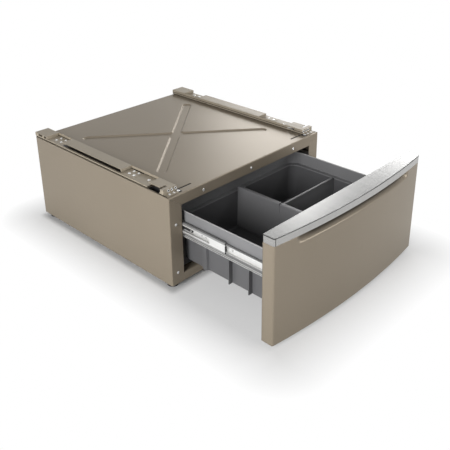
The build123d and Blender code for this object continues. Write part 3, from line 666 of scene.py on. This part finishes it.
def tub_rim():
    """Rounded bead along the tub's top edge, in a paler grey as a painted highlight."""
    low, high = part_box("drawer_tub")
    size = high - low
    place = Vector(((low.x + high.x) / 2, (low.y + high.y) / 2, high.z - RIM_SUNK))
    bm = bmesh.new()
    stretch = Matrix.Diagonal((size.x, size.y, 1, 1))
    bmesh.ops.create_grid(bm, x_segments=1, y_segments=1, size=0.5,
                          matrix=Matrix.Translation(place) @ stretch)
    for rear, radius in ((True, TUB_REAR_R), (False, TUB_FRONT_R)):
        corners = [v for v in bm.verts if (v.co.y > place.y) == rear]
        rounded(bm, corners, radius, segments=10, affect="VERTICES")
    bm.faces.ensure_lookup_table()
    middle = bm.faces[0]
    ring = bmesh.ops.inset_individual(bm, faces=[middle], thickness=RIM_WIDTH)["faces"]
    bmesh.ops.delete(bm, geom=[middle], context="FACES_ONLY")
    rims = [e for e in raised(bm, ring, RIM_HEIGHT)
            if any(abs(face.normal.z) < 0.5 for face in e.link_faces)]
    rounded(bm, rims, RIM_R)
    piece("tub_rim", bm, "drawer", "grey_plastic", RIM_HIGHLIGHT_FINISH)


# ---------------------------------------------------------------- slide and cabinet fittings
STOP_SIZE = (0.0016, 0.0024, 0.016)
STOP_IN = 0.0009
STOP_AHEAD = 0.0011
STOP_R = 0.0005

# Black trays that stand for the painted shade in the rails' wells and clip slots.
# Kind, inner and outer x, front and rear behind the cabinet's front, and depth.
SHADE_TRAYS = (("well_shade_tray", HALF - 0.0305, HALF - 0.0045, 0.0430, 0.0980, 0.0150),
          ("slot_shade_tray", HALF - 0.1140, HALF - 0.0560, 0.0252, 0.0322, 0.0060))
SHADE_TRAY_WALL = 0.0008
SHADE_TRAY_SUNK = 0.0014
SHADE_TRAY_R = 0.0015

EYELET_R = 0.0036
EYELET_TUBE = 0.0011
EYELET_PITCH = 0.0135
EYELET_X = HALF - 0.049
EYELET_Y = FRONT_Y + 0.0252
EYELET_Z = TOP_Z + 0.0095


def slide_stops():
    """Black rubber stops on the front ends of the middle members."""
    for name, side in SIDES:
        low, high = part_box("slide_middle_member_" + name)
        x = face_x(low, high, side) - side * STOP_IN
        bm = block((x, low.y - STOP_AHEAD, SLIDE_Z), STOP_SIZE)
        rounded(bm, list(bm.edges), STOP_R)
        piece("slide_stop_" + name, bm, "slide_middle_" + name, "black_plastic")


def shade_tray(name, low, high):
    """Open-topped black tray with rounded corners between two corner points, as painted shade in a
    hollow.
    """
    bm = block((low + high) / 2, high - low)
    bmesh.ops.delete(bm, geom=[top_face(bm)], context="FACES_ONLY")
    rounded(bm, [e for e in bm.edges if len(e.link_faces) == 2], SHADE_TRAY_R)
    thicken(piece(name, bm, "cabinet", "black_plastic"), SHADE_TRAY_WALL)


def eyelet():
    """Ring about Z with a dished middle, its back at z = 0."""
    rim, tube = EYELET_R, EYELET_TUBE
    bm = turned([(0, 0.0002), (rim - tube, 0.0002), (rim - 0.6 * tube, 0.7 * tube), (rim, tube),
                 (rim + 0.6 * tube, 0.7 * tube), (rim + tube, 0), (0, 0)], steps=20)
    return mesh_of("eyelet_master", bm)


def eyelet_shade_disc():
    """Low black disc in the middle of an eyelet, as painted shade in its middle; its back at z = 0.
    """
    bm = turned([(0, 0.0004), (0.0022, 0.0006), (0.0028, 0.0002), (0.0028, 0), (0, 0)], steps=16)
    return mesh_of("eyelet_shade_disc_master", bm)


def cabinet_fittings():
    """Black trays as painted shade in the rails' wells and clip slots; eyelets on the rails' front
    blocks, with black discs as painted shade in their middles.
    """
    ring, shade_disc = eyelet(), eyelet_shade_disc()
    for name, side in SIDES:
        for kind, inner, outer, front, rear, depth in SHADE_TRAYS:
            left, right = sorted((side * inner, side * outer))
            top = TOP_Z - SHADE_TRAY_SUNK
            shade_tray(f"{kind}_{name}", Vector((left, FRONT_Y + front, top - depth)),
                  Vector((right, FRONT_Y + rear, top)))
        places = [(side * (EYELET_X + EYELET_PITCH * i), EYELET_Y, EYELET_Z) for i in range(3)]
        piece("rail_eyelets_" + name, repeated(ring, places, (0, -1, 0)), "cabinet",
              "bright_steel")
        # Black discs in the eyelets' middles, as painted shade.
        piece("rail_eyelet_shade_discs_" + name, repeated(shade_disc, places, (0, -1, 0)), "cabinet",
              "black_plastic")


# ---------------------------------------------------------------- feet
PAD_TOP = 0.0090
RIBS_Z = 0.0012
RIB_HEIGHT = 0.0011
RIB_DEPTH = 0.0012
COLLAR_R = 0.009
COLLAR_SUNK = 0.0002
COLLAR_EDGE = 0.0009
THREAD_PITCH = 0.0015
THREAD_DEPTH = 0.0010
THREAD_CORE = 0.0007
THREAD_STEPS = 20


def foot_pad(radius, top):
    """Ribbed rubber pad that stands on z = 0, with a hexagon collar up to its top."""
    ribs = [(radius - (RIB_DEPTH if i % 2 else 0), RIBS_Z + RIB_HEIGHT * i) for i in range(6)]
    bm = turned([(0, 0), (radius - 0.0030, 0), (radius - 0.0012, 0.0004)] + ribs
                + [(radius - 0.0015, 0.0083), (radius - 0.0035, PAD_TOP), (0, PAD_TOP)], steps=40)
    hexagon(bm, COLLAR_R, PAD_TOP - COLLAR_SUNK, top, COLLAR_EDGE, segments=3)
    return bm


def thread(radius, low, high):
    """Core of a stud with a helical ridge round it."""
    core = radius - THREAD_CORE
    bm = turned([(0, low), (core, low), (core, high), (0, high)], steps=24)
    turns = int((high - low) / THREAD_PITCH) - 1
    root = radius - THREAD_DEPTH
    verts = [bm.verts.new((x, 0, low + share * THREAD_PITCH))
             for x, share in ((root, 0.1), (radius, 0.5), (root, 0.9))]
    edges = [bm.edges.new((verts[i], verts[i - 1])) for i in range(3)]
    bm.faces.new(verts)
    last = bmesh.ops.spin(bm, geom=verts + edges, axis=(0, 0, 1), angle=math.tau * turns,
                          steps=THREAD_STEPS * turns, dvec=(0, 0, THREAD_PITCH / THREAD_STEPS),
                          use_duplicate=False)["geom_last"]
    bmesh.ops.contextual_create(bm, geom=[g for g in last if isinstance(g, bmesh.types.BMVert)])
    return bm


def feet():
    """Levelling feet: rubber pads and threaded studs."""
    for end in ("front", "rear"):
        for name, _ in SIDES:
            foot = f"foot_{end}_{name}"
            low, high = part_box(foot)
            at = ((low.x + high.x) / 2, (low.y + high.y) / 2, 0)
            bm = foot_pad((high.x - low.x) / 2, high.z)
            bmesh.ops.translate(bm, verts=bm.verts, vec=at)
            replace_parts(piece(foot + "_pad", bm, foot, "black_plastic"), foot)
            low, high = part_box(foot + "_stud")
            bm = thread((high.x - low.x) / 2, low.z, high.z)
            bmesh.ops.translate(bm, verts=bm.verts, vec=at)
            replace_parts(piece(foot + "_thread", bm, foot, "bright_steel"), foot + "_stud")


# ---------------------------------------------------------------- stage
FLOOR_HALF = 14
FLOOR_WHITE = 0.35
FLOOR_FADE = 0.24
UNDER_FADE = 0.02
SKY_STRENGTH = 0.17

# Name, place, watts, width, height, and whether glossy finishes mirror the lamp.
LAMPS = (
    ("left", (-2.8, -0.75, 0.62), 112, 2.4, 1.1, False),
    ("right", (2.7, 1.85, 1.5), 23, 1.2, 1.2, True),
    ("low_right", (2.95, 0.78, 1.20), 12, 0.7, 0.7, True),
    ("front_right", (1.3, -2.6, 0.62), 26, 1.2, 0.9, True),
    ("upper_right", (1.95, -1.2, 2.1), 10, 0.5, 0.5, True),
    ("rear_left", (-1.6, 2.1, 2.1), 3, 0.9, 0.9, True),
)
LAMP_AIM = Vector((0, 0, 0.15))

CAMERA_PLACE = (-1.4160, -1.4140, 1.1585)
CAMERA_AZIMUTH = math.radians(-45.599)
CAMERA_ELEVATION = math.radians(23.088)
CAMERA_ROLL = math.radians(-0.683)
CAMERA_LENS = 53.53
CAMERA_SHIFT = -0.167


def white_for_view(tree_nodes, shader, kind, share):
    """A shader that turns white, by a share, to the camera and to gloss and glass."""
    seen = tree_nodes.node("ShaderNodeLightPath", {}, {}, "Is Camera Ray")
    for ray in ("Is Glossy Ray", "Is Transmission Ray"):
        seen = seen.math("MAXIMUM", seen, tree_nodes.node("ShaderNodeLightPath", {}, {}, ray))
    white = tree_nodes.node(kind, {}, {"Color": (1, 1, 1), "Strength": 1})
    return tree_nodes.node("ShaderNodeMixShader", {}, {0: seen * share, 1: shader, 2: white})


def floor_finish():
    """Pale floor that is white away from the object and keeps the object's shadow beside it."""
    finish = Finish("pale_floor")
    speck = finish.noise(30, 3)
    finish.shade(Base_Color=finish.mixed(speck, (0.70, 0.70, 0.70), (0.74, 0.74, 0.74)),
                 Roughness=0.9)
    across, along = finish.axis("X"), finish.axis("Y")
    beside = (abs(across) - HALF).clipped()
    ahead = (abs(along) - BACK_Y).clipped()
    away = beside.math("SQRT", beside * beside + ahead * ahead)
    under = (abs(across).band(0, HALF, UNDER_FADE)
             * along.band((FRONT_Y + BACK_Y) / 2, (BACK_Y - FRONT_Y) / 2, UNDER_FADE))
    share = (FLOOR_WHITE + away / FLOOR_FADE).clipped() * (1 - under)
    shown = white_for_view(finish, Value(finish, finish.shader.outputs[0]), "ShaderNodeEmission",
                           share)
    finish.feed(finish.tree.nodes["Material Output"].inputs["Surface"], shown)
    return finish.material


def set_floor():
    """Wide pale floor."""
    bm = bmesh.new()
    bmesh.ops.create_grid(bm, x_segments=1, y_segments=1, size=FLOOR_HALF)
    mesh = mesh_of("floor", bm)
    floor = placed("floor", mesh)
    mesh.materials.append(floor_finish())


def set_sky():
    """Faint white light from all round, seen as full white."""
    world = bpy.data.worlds.new("studio_white")
    bpy.context.scene.world = world
    world.use_nodes = True
    sky = Nodes(world.node_tree)
    backdrop = sky.tree.nodes["Background"]
    sky.feed(backdrop.inputs["Color"], (1, 1, 1))
    sky.feed(backdrop.inputs["Strength"], SKY_STRENGTH)
    shown = white_for_view(sky, Value(sky, backdrop.outputs[0]), "ShaderNodeBackground", 1)
    sky.feed(sky.tree.nodes["World Output"].inputs["Surface"], shown)


def set_lamps():
    """Soft lamps round the object, all turned towards its middle."""
    for name, place, power, width, height, mirrored in LAMPS:
        lamp = bpy.data.lights.new(name, "AREA")
        lamp.energy = power
        lamp.shape = "RECTANGLE"
        lamp.size, lamp.size_y = width, height
        holder = placed(name, lamp)
        holder.matrix_world = toward(place, Vector(place) - LAMP_AIM)
        holder.visible_glossy = mirrored


def set_camera():
    """Camera ahead of the open drawer and to its left."""
    camera = bpy.data.cameras.new("camera")
    camera.sensor_width = 36
    camera.lens = CAMERA_LENS
    camera.shift_y = CAMERA_SHIFT
    azimuth, elevation, roll = CAMERA_AZIMUTH, CAMERA_ELEVATION, CAMERA_ROLL
    back = Vector((math.sin(azimuth) * math.cos(elevation),
                   -math.cos(azimuth) * math.cos(elevation), math.sin(elevation)))
    right = Vector((math.cos(azimuth), math.sin(azimuth), 0))
    up = back.cross(right)
    across = math.cos(roll) * right + math.sin(roll) * up
    upward = math.cos(roll) * up - math.sin(roll) * right
    holder = placed("camera", camera)
    holder.matrix_world = (Matrix.Translation(CAMERA_PLACE)
                           @ Matrix((across, upward, back)).transposed().to_4x4())
    bpy.context.scene.camera = holder
    bpy.context.scene.view_settings.view_transform = "Standard"


dress_nodes()
all_screws()
slide_balls()
drawer_shell()
tub_rim()
slide_stops()
cabinet_fittings()
feet()
set_floor()
set_sky()
set_lamps()
set_camera()
